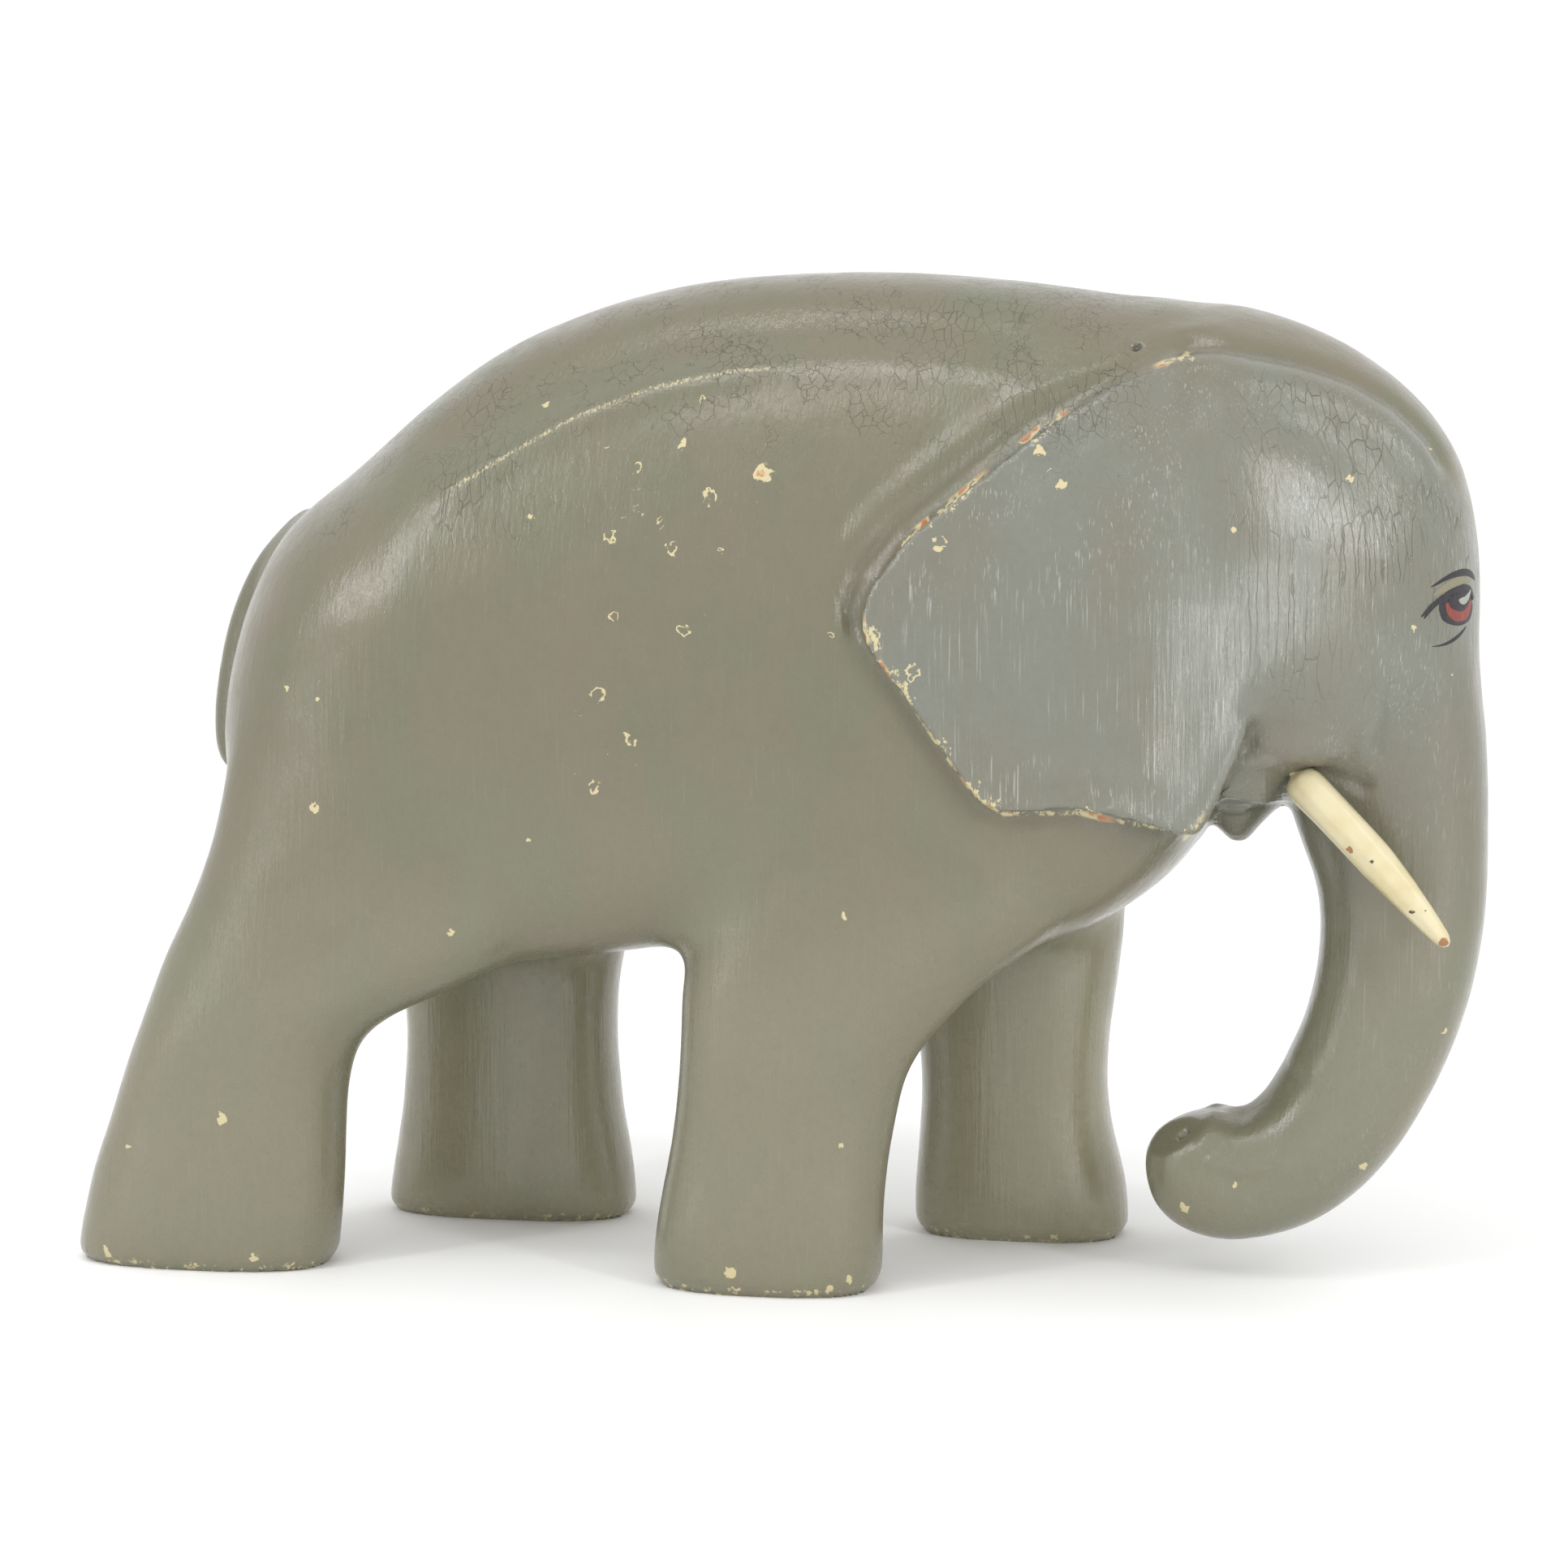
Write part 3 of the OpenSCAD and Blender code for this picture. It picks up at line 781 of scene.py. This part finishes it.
def ageCracks(n):  # upright lines on head, rump and neck, and small scales along the back
    brow = n.attribute("browFar")
    onHead = n.times(
        fade(n, n.x, "headLines"), fade(n, n.z, "headLinesUp"), fade(n, brow, "headLinesEdge"))
    onRump = n.times(fade(n, n.x, "rumpLines"), fade(n, n.z, "rumpLinesUp"))
    onNeck = n.times(
        fade(n, n.x, "neckLines"), fade(n, n.x, "neckLinesEnd"), fade(n, n.z, "neckLinesUp"))
    zone = n.times(n.most(onHead, onRump, onNeck), fade(n, n.noise(*enamelNoise["linePatch"]), "linePatch"))
    lines = n.times(n.cracks(*enamelCracks["lines"]), zone, enamelWear["lines"])
    onBack = n.times(
        fade(n, n.z, "backUp"), fade(n, n.x, "backEnd"),
        n.most(fade(n, n.x, "backOnly"), fade(n, brow, "aboveBrow")),
        fade(n, n.noise(*enamelNoise["scalePatch"]), "scalePatch"))
    scales = n.times(n.cracks(*enamelCracks["scales"]), onBack, enamelWear["scales"])
    return n.most(lines, scales)


def flakedPaint(n):  # where primer shows, and where bare wood does
    wear = enamelWear
    chew = n.noise(*enamelNoise["chew"])
    size = n.attribute("flakeSize")
    ringed = n.attribute("flakeOpen")
    rubbed = n.attribute("rubbed")
    shake = n.wobble(wear["shakeScale"], wear["flakeShake"], 2)
    way = n.vector("ADD", n.attribute("flakeWay", "Vector"), shake)
    reach = n.math("DIVIDE", n.vector("LENGTH", way), n.most(size, wear["smallest"]))
    hole = n.times(ringed, fade(n, reach, "ringHole"))
    gap = n.most(fade(n, n.noise(*enamelNoise["gap"]), "gap"), n.math("SUBTRACT", 1.0, ringed))
    flake = n.times(n.math("SUBTRACT", fade(n, reach, "flake"), hole), gap)

    rim = n.attribute("rimFar")
    nearRim = n.math("ABSOLUTE", rim)
    strength, ragged = wear["worn"]
    edge = n.times(fade(n, rim, "rimStart"), fade(n, rim, "rimEnd"), rubbed, strength)
    edge = fade(n, n.total(edge, n.swing(chew, ragged)), "worn")
    crest = n.times(fade(n, nearRim, "crest"), rubbed)
    patch = n.noise(*enamelNoise["patch"])
    hem = n.times(
        fade(n, nearRim, "hem"), fade(n, n.z, "hemUp"), fade(n, n.x, "hemFront"), fade(n, chew, "hemWorn"))

    # Primer-coloured streaks along the back ridge: partly real wear and partly a painted highlight for the
    # ridge's broken sheen.
    strength, ragged = wear["ridge"]
    ridge = fade(n, n.math("ABSOLUTE", n.attribute("ridgeFar")), "ridge")
    ridge = n.times(ridge, n.attribute("ridgeNear"), strength)
    streak = n.swing(n.noise(*enamelNoise["streak"]), ragged)
    ridge = fade(n, n.total(ridge, streak), "ridgeWornSheen")
    strength, ragged = wear["sole"]
    sole = n.times(n.attribute("proud"), fade(n, n.z, "sole"), strength)
    sole = fade(n, n.total(sole, n.swing(chew, ragged)), "soleWorn")

    primer = n.most(flake, edge, n.times(crest, fade(n, patch, "crestPrimer")), hem, ridge, sole)
    heart = n.times(fade(n, reach, "flakeHeart"), fade(n, size, "bigFlake"), fade(n, chew, "heartWood"))
    return primer, n.most(n.times(crest, fade(n, patch, "crestWood")), heart)


def makeEnamel():
    paint = enamelPaint
    n = Nodes("enamel")
    n.x, n.y, n.z = n.add("ShaderNodeSeparateXYZ", n.place).outputs
    fleck = n.noise(*enamelNoise["fleck"])
    cracked = ageCracks(n)
    flaked, bare = flakedPaint(n)
    colour = n.mix(cracked, enamelPatches(n, fleck), paint["crack"])
    colour = n.mix(flaked, colour, paint["primer"])
    colour = n.mix(bare, colour, paint["wood"])
    # Painted shade: the small hole behind the right ear is filled with the dark crack colour.
    spot = n.vector("ADD", n.place, n.wobble(enamelWear["shakeScale"], enamelWear["pitShake"], 2))
    colour = n.mix(fade(n, n.vector("DISTANCE", spot, paint["holeShade"]), "holeShade"), colour, paint["crack"])
    n.feed(n.shader.inputs["Base Color"], colour)

    start, end, less, more = paint["glossRange"]
    rough = n.noise(*enamelNoise["gloss"])
    rough = n.ramp(rough, start, end, paint["roughness"] + less, paint["roughness"] + more)
    n.feed(n.shader.inputs["Roughness"], n.total(rough, n.times(flaked, paint["bareRoughness"])))
    n.shader.inputs["Coat Weight"].default_value = paint["coat"]
    n.shader.inputs["Coat Roughness"].default_value = paint["coatRoughness"]
    layers = {"grain": n.noise(*enamelNoise["grain"]), "brush": n.noise(*enamelNoise["brush"]),
              "fleck": fleck, "cracked": cracked}
    height = n.total(*[n.times(layer, paint["heights"][name]) for name, layer in layers.items()])
    n.feed(n.shader.inputs["Coat Normal"], n.bump(height))
    return n.material


def finish(piece, material, slot, *nodes):
    piece.data.materials.clear()
    piece.data.materials.append(material)
    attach(piece, "root")
    if nodes:
        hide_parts(*nodes)


markSkin()
clay.smooth.show_viewport = False
bpy.context.view_layer.update()
skinTree = BVHTree.FromObject(clay.block, bpy.context.evaluated_depsgraph_get())
markFlakes(skinTree)
enamel = makeEnamel()
half = skinSettings["half"] * mm
for name, low, high, node in (
        ("carved_core", -half, half, "core_board"),
        ("carved_right_side", None, -half, "right_board"),
        ("carved_left_side", half, None, "left_board")):
    mesh = sliced(name, low, high)
    keepNormals(mesh)
    finish(addObject(name, mesh), enamel, "enamel", node)
    print(name, "faces:", len(mesh.polygons))
bpy.data.objects.remove(clay.block)

# Painted eye, drawn on a chart that faces forwards and outwards: across and up from its middle.
eyeSettings = {
    "middle": (113, 188),   # along the chart and above the floor
    "facing": (0.72, 0.69, 0),
    "thick": 0.30,
    "proud": 0.10,
    "step": 0.05,           # each layer of paint over the one before
    "thinnest": 0.12,
    "grid": (40, 6),        # faces along and across a stroke
    "ahead": 0.02,          # how far along a stroke its direction is taken
    "away": 300,            # where the chart lies, in front of the head
    "faded": (0.8, 0.02),   # worn paint: share of its colour, and what is added
    "fleck": (0.3, 1.2, 4), # height drawn out by, scale, detail
    "fleckFade": (0.45, 0.8),
    "roughness": 0.42,
    "filled": ("iris", "glow", "pupil"),
}
eyeStrokes = {              # colour, layer, across, up, width
    "iris": ("black", 0, [(-6.8, -0.2, 0.8), (-5.5, -0.3, 5.6), (-3, -0.3, 8.2), (1.4, -0.3, 9.6),
                          (5.5, -0.3, 8.4), (8, -0.3, 5.8), (9.3, -0.2, 1.0)]),
    "glow": ("red", 1, [(-4.4, 0.6, 0.6), (-3.4, -0.4, 3.2), (-0.5, -1.2, 5.2), (2.4, -1.3, 5.4),
                        (5.4, -1.0, 4.8), (7.6, 0, 3.0), (8.4, 0.8, 0.6)]),
    "pupil": ("black", 2, [(-3.2, 1.4, 0.8), (-2, 1.4, 3.4), (0.5, 1.3, 4.8), (2.5, 1.3, 5.2),
                           (5, 1.6, 4.4), (6.8, 2.2, 2.4), (7.4, 2.6, 0.6)]),
    # Painted highlight: a pale grey wedge on the pupil for the eye's glint.
    "paintedGlint": ("paintedHighlight", 3, [(1.2, 1.7, 0.5), (2.6, 1.5, 1.8), (4.2, 1.6, 2.0), (5.8, 2.5, 1.7), (7, 3.6, 0.9),
                           (7.6, 4.4, 0.3)]),
    "upperLid": ("black", 2, [(-12.8, -2.4, 0.3), (-10.4, -0.4, 1.1), (-6.8, 1.7, 1.6), (-3.5, 3.1, 2.0),
                              (0, 4.2, 2.1), (4.4, 4.9, 1.9), (7.6, 4.3, 1.5), (9.6, 1.8, 1.0)]),
    "lidTail": ("black", 2, [(-11.9, -2.9, 0.2), (-10.6, -1.3, 0.8), (-8.5, 0.4, 0.8)]),
    "brow": ("black", 0, [(-9.8, 5.4, 0.2), (-7.5, 6.3, 0.7), (-4.8, 7.4, 1.1), (-0.5, 8.6, 1.6),
                          (4.4, 9.1, 1.9), (8.3, 8.5, 1.8), (11, 7.2, 0.9)]),
    "underLid": ("black", 0, [(-8.4, -10.4, 0.15), (-5.2, -10.2, 0.45), (-2.1, -9.5, 0.85), (1, -8.3, 0.95),
                              (3.4, -7.0, 0.7), (5.7, -5.5, 0.2)]),
    "lidShade": ("olive", -1, [(-8.6, 3.2, 0.6), (-5, 4.8, 2.2), (-0.5, 6.3, 2.8), (3.6, 7, 2.4),
                               (7.4, 6.6, 0.6)]),
}
eyePaints = {"black": (0.013, 0.011, 0.014, 1), "red": (0.19, 0.032, 0.026, 1),
             # The pale grey below is a painted highlight, used by the glint stroke.
             "paintedHighlight": (0.30, 0.30, 0.26, 1), "olive": (0.200, 0.185, 0.118, 1)}
wornRed = (0.30, 0.07, 0.035, 1)


def curvePoint(path, t):  # smooth curve through the path's points, t from 0 to 1
    spot = min(int(t * (len(path) - 1)), len(path) - 2)
    u = t * (len(path) - 1) - spot
    near = [path[min(max(spot + step, 0), len(path) - 1)] for step in (-1, 0, 1, 2)]
    a, b, c, d = np.array(near, float)
    bend = (2 * a - 5 * b + 4 * c - d) * u * u + (3 * b - a - 3 * c + d) * u ** 3
    return 0.5 * (2 * b + (c - a) * u + bend)


def eyePaint(name):
    n = Nodes("eye_" + name)
    fleck = n.noise(*eyeSettings["fleck"])
    base = eyePaints[name]
    share, more = eyeSettings["faded"]
    worn = wornRed if name == "red" else tuple(c * share + more for c in base[:3]) + (1,)
    n.feed(n.shader.inputs["Base Color"], n.mix(n.ramp(fleck, *eyeSettings["fleckFade"]), base, worn))
    n.shader.inputs["Roughness"].default_value = eyeSettings["roughness"]
    return n.material


def strokeShape(path, filled, lift, across, facing, tree):  # one brush stroke, laid on the skin
    shape = bmesh.new()
    along, wideways = eyeSettings["grid"]
    bmesh.ops.create_grid(shape, x_segments=along, y_segments=wideways, size=0.5)
    for vert in shape.verts:
        t = vert.co.x + 0.5
        u, v, wide = curvePoint(path, t)
        ahead = curvePoint(path, min(t + eyeSettings["ahead"], 1))
        ahead = ahead - curvePoint(path, max(t - eyeSettings["ahead"], 0))
        turn = Vector((0, 1)) if filled else Vector((-ahead[1], ahead[0])).normalized()
        turn = turn * vert.co.y * max(wide, eyeSettings["thinnest"])
        spread = eyeSettings["middle"][0] + u + turn.x
        up = eyeSettings["middle"][1] + v + turn.y
        start = (across * spread + facing * eyeSettings["away"] + Vector((0, 0, up))) * mm
        hit, normal = tree.ray_cast(start, -facing)[:2]
        vert.co = hit + normal * lift
    lower = bmesh.ops.extrude_face_region(shape, geom=shape.faces[:])
    for vert in [item for item in lower["geom"] if isinstance(item, bmesh.types.BMVert)]:
        normal = tree.find_nearest(vert.co)[1]
        vert.co = vert.co - normal * eyeSettings["thick"] * mm
    bmesh.ops.recalc_face_normals(shape, faces=shape.faces[:])
    return shape


def paintEye(name, side, tree, paints):
    facing = Vector(eyeSettings["facing"]).normalized()
    across = Vector((facing.y, -side * facing.x, 0))
    facing.y *= side
    whole = bmesh.new()
    for stroke, (colour, layer, path) in eyeStrokes.items():
        lift = (eyeSettings["proud"] + layer * eyeSettings["step"]) * mm
        shape = strokeShape(path, stroke in eyeSettings["filled"], lift, across, facing, tree)
        for face in shape.faces:
            face.material_index = list(eyePaints).index(colour)
            face.smooth = True
        piece = bpy.data.meshes.new("stroke")
        shape.to_mesh(piece)
        shape.free()
        whole.from_mesh(piece)
        bpy.data.meshes.remove(piece)
    mesh = bpy.data.meshes.new(name)
    whole.to_mesh(mesh)
    whole.free()
    for paint in paints:
        mesh.materials.append(paint)
    eye = addObject(name, mesh)
    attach(eye, "root")


paints = [eyePaint(name) for name in eyePaints]
paintEye("right_eye_paint", -1, skinTree, paints)
paintEye("left_eye_paint", 1, skinTree, paints)
print("eyes")

# A tusk: along it from the end of the tenon, its radius at each place, and the knife's flats.
tuskSettings = {
    "tenon": 20.0,
    "outline": [(-20, 3.5), (-5, 3.5), (-3, 1.2), (-0.1, 1.2), (0.15, 1.9), (0.5, 2.9), (1.1, 3.9),
                (2, 4.7), (3.4, 5.3), (6, 5.45), (20, 5.4), (32, 5.2), (42, 4.5), (50, 3.6), (56, 2.7),
                (59, 2.0), (60.4, 1.2), (61, 0.05)],
    "bow": 0.9,
    # Flats: around in degrees, how far from the axis, how soft.
    "flats": [(20, 5.25, 0.3), (95, 5.2, 0.5), (150, 5.3, 0.4), (215, 5.2, 0.2), (290, 5.25, 0.6),
              (340, 5.3, 0.5)],
    "flatThick": 5.5,       # radius that the flats' distances are for
    "flatWave": (0.15, 0.1, 0.23),      # how much deeper on average, swing, and its turns along
    "flatEdge": 0.7,        # how far round a flat may reach, as a cosine
    "flatEnds": (2, 57),
    "around": 48,
    "rings": 120,
    "crowding": 0.9,        # below 1, the rings are packed towards the tip
    "weld": 0.004,
}
tuskPaint = {
    "cream": (0.58, 0.52, 0.335, 1),
    "yellow": (0.52, 0.44, 0.24, 1),
    "wood": (0.30, 0.14, 0.065, 1),
    "dark": (0.07, 0.055, 0.035, 1),
    "cloud": (1, 0.10, 4),              # height drawn out by, scale, detail, roughness
    "fleck": (1, 0.9, 5, 0.7),
    "shake": (0.9, (1.8, 1.8, 1.8), 3),
    "clouded": (0.35, 0.7),
    "flecked": (0.62, 0.85, 0.0, 0.35),
    "gloss": (0.3, 0.8, 0.30, 0.46),
    "chipEdge": 0.8,
    "heights": (0.12, 0.03, -0.12),     # cloud, fleck, chips
}
# Chips on the tusk: along, degrees down from its outer side, radius, colour.
tuskChips = [(25, 20, 1.3, "wood"), (31, -10, 0.5, "dark"), (48, 10, 0.9, "dark"),
             (59.5, 0, 1.5, "wood"), (8, 40, 0.4, "dark"), (50, -40, 0.4, "dark")]


def tuskRadius(along):
    return float(np.interp(along, *zip(*tuskSettings["outline"])))


def whittled(along, turn):  # the radius with the knife's flats taken off
    tusk = tuskSettings
    radius = tuskRadius(along)
    deeper, swing, turns = tusk["flatWave"]
    first, last = tusk["flatEnds"]
    for angle, limit, soft in tusk["flats"]:
        lean = math.cos(turn - math.radians(angle))
        cut = limit * min(1.0, radius / tusk["flatThick"]) - deeper
        cut += swing * math.sin(along * turns + angle)
        if lean > tusk["flatEdge"] and radius * lean > cut and first < along < last:
            radius += (cut / lean - radius) * (1 - soft / 2)
    return radius


def makeTusk(name, node, side):
    tusk = tuskSettings
    root, aim = tuskAxis(node)
    aim = Vector(aim)
    up = Vector((0, 0, 1)) - aim * aim.z
    up.normalize()
    out = aim.cross(up)
    out = out if out.y * side > 0 else -out
    seat = Vector(root) + aim * tusk["tenon"] * mm
    shape = bmesh.new()
    bmesh.ops.create_grid(shape, x_segments=tusk["rings"], y_segments=tusk["around"], size=0.5)
    start, end = tusk["outline"][0][0], tusk["outline"][-1][0]
    for vert in shape.verts:
        turn = (vert.co.y + 0.5) * math.tau
        along = start + (end - start) * max(vert.co.x + 0.5, 0) ** tusk["crowding"]
        radius = whittled(along, turn)
        sag = tusk["bow"] * math.sin(max(along, 0) / end * math.pi)
        where = out * math.cos(turn) * radius + up * (math.sin(turn) * radius + sag)
        vert.co = seat + (aim * along + where) * mm
    bmesh.ops.remove_doubles(shape, verts=shape.verts, dist=tusk["weld"] * mm)
    rims = [edge for edge in shape.edges if edge.is_boundary]
    bmesh.ops.holes_fill(shape, edges=rims, sides=0)
    bmesh.ops.recalc_face_normals(shape, faces=shape.faces[:])
    for face in shape.faces:
        face.smooth = len(face.verts) < 5
    mesh = bpy.data.meshes.new(name)
    shape.to_mesh(mesh)
    shape.free()
    chips = []
    for along, down, radius, colour in tuskChips:
        turn = math.radians(down)
        outwards = out * math.cos(turn) - up * math.sin(turn)
        chips.append((seat / mm + aim * along + outwards * tuskRadius(along), radius, colour))
    finish(addObject(name, mesh), makeIvoryPaint(name + "_paint", chips), "ivory_paint", node)


def makeIvoryPaint(name, chips):
    paint = tuskPaint
    n = Nodes(name)
    cloud = n.noise(*paint["cloud"])
    fleck = n.noise(*paint["fleck"])
    colour = n.mix(n.ramp(cloud, *paint["clouded"]), paint["cream"], paint["yellow"])
    colour = n.mix(n.ramp(fleck, *paint["flecked"]), colour, paint["wood"])
    ragged = n.vector("ADD", n.place, n.wobble(*paint["shake"]))
    holes = []
    for spot, radius, shade in chips:
        holes.append(n.ramp(n.vector("DISTANCE", ragged, spot), radius, radius * paint["chipEdge"]))
        colour = n.mix(holes[-1], colour, paint[shade])
    n.feed(n.shader.inputs["Base Color"], colour)
    n.feed(n.shader.inputs["Roughness"], n.ramp(fleck, *paint["gloss"]))
    layers = zip((cloud, fleck, n.most(*holes)), paint["heights"])
    n.bump(n.total(*[n.times(layer, height) for layer, height in layers]))
    return n.material


makeTusk("right_tusk_turned", "right_tusk", -1)
makeTusk("left_tusk_turned", "left_tusk", 1)
print("tusks")
